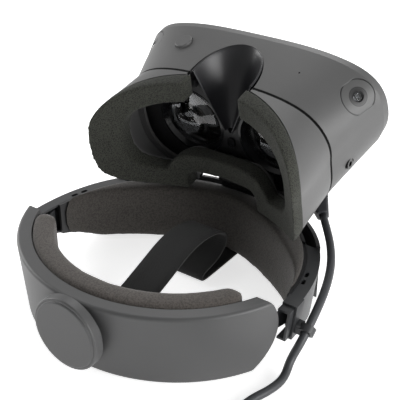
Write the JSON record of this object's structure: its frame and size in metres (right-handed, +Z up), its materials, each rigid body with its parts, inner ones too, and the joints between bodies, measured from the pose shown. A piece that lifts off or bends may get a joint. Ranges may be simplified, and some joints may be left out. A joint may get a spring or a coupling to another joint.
{
  "type": "tethered virtual reality headset",
  "caption": "Tethered virtual reality headset with rigid halo band, sliding visor, rear size knob, padded forehead and face rests, speakers in the arms, and a coiled cable.",
  "frame": {"origin": "bottom centre of the headset's bounding box, on the surface it lies on, without the cable", "axes": "+Y from the wearer's head towards the visor, +X towards the wearer's left side, +Z up from the surface; the headset lies on the top of its halo, so +Z is down for the wearer"},
  "size_m": [0.2916, 0.2947, 0.1416],
  "materials": {
    "halo_plastic": "moulded, fine matt texture",
    "arm_plastic": "moulded, satin",
    "visor_plastic": "moulded, matt",
    "black_plastic": "moulded, satin",
    "gloss_black": "smooth moulded",
    "felt": "brushed felt over foam",
    "foam": "open-cell foam",
    "webbing": "woven webbing",
    "hook_tape": "hook-and-loop strap",
    "soft_rubber": "smooth thermoplastic rubber",
    "flap_rubber": "smooth silicone",
    "spring_band": "flexible nylon",
    "steel": "zinc plated",
    "aluminium": "sheet, brushed",
    "lens_glass": "polished, coated",
    "display_glass": "display glass",
    "board": "printed circuit board",
    "driver": "speaker driver",
    "jack_metal": "plated"
  },
  "bodies": {
    "halo": {"halo_front_cover": "halo_plastic", "halo_frame": "black_plastic", "arm_shell_left": "arm_plastic", "arm_shell_right": "arm_plastic", "arm_liner_left": "black_plastic", "arm_liner_right": "black_plastic", "forehead_pad_carrier": "black_plastic", "forehead_pad": "felt", "speaker_left": "driver", "speaker_right": "driver", "flex_band_left": "spring_band", "flex_band_right": "spring_band", "visor_bracket": "black_plastic", "slide_rail": "aluminium", "bracket_screws": "steel", "top_strap": "webbing", "cable_clip": "arm_plastic", "cable": "soft_rubber", "cable_coil": "soft_rubber", "cable_tie": "hook_tape", "cable_plug": "soft_rubber", "plug_tip": "steel"},
    "cradle": {"rear_shell": "halo_plastic", "rear_inner_plate": "black_plastic", "rear_pad": "felt", "knob_bearing": "black_plastic", "rear_strap_anchor": "black_plastic", "rear_screws": "steel"},
    "knob": {"knob_cap": "halo_plastic", "knob_grip": "halo_plastic", "pinion": "black_plastic"},
    "visor": {"visor_shell": "visor_plastic", "front_cover": "visor_plastic", "seam_gasket": "black_plastic", "facial_interface": "visor_plastic", "face_foam": "foam", "nose_flap": "flap_rubber", "flap_clips": "black_plastic", "inner_frame": "black_plastic", "lens_cup_left": "gloss_black", "lens_cup_right": "gloss_black", "lens_left": "lens_glass", "lens_right": "lens_glass", "display_panel": "display_glass", "display_frame": "black_plastic", "main_board": "board", "heat_spreader": "aluminium", "side_camera_left": "black_plastic", "side_camera_right": "black_plastic", "front_cameras": "black_plastic", "camera_lenses": "lens_glass", "headphone_jack": "jack_metal", "microphone": "driver", "proximity_sensor": "gloss_black", "slide_guide": "black_plastic", "visor_screws": "steel", "cable_gland": "soft_rubber", "button_seat": "black_plastic"},
    "button": {"release_button": "visor_plastic", "button_spring": "steel"}
  },
  "joints": [
    {"name": "visor_slide", "type": "slide", "parent": "halo", "child": "visor", "axis": [0, 0.9751, 0.2215], "range_m": [0, 0.012]},
    {"name": "button_press", "type": "slide", "parent": "visor", "child": "button", "axis": [0.1619, 0.3548, -0.9208], "range_m": [0, 0.0015], "stiffness_N_per_m": 1500, "deforming": ["button_spring"]},
    {"name": "cradle_slide", "type": "slide", "parent": "halo", "child": "cradle", "axis": [0, -1, 0], "range_m": [0, 0.028], "deforming": ["flex_band_left", "flex_band_right"]},
    {"name": "knob_spin", "type": "hinge", "parent": "cradle", "child": "knob", "pos_m": [0, -0.1026, 0.0264], "axis": [0, 1, 0], "range_deg": [0, 270]}
  ],
  "couplings": [
    {"joint": "knob_spin", "follows": "cradle_slide", "rad_per_m": 166.67}
  ]
}
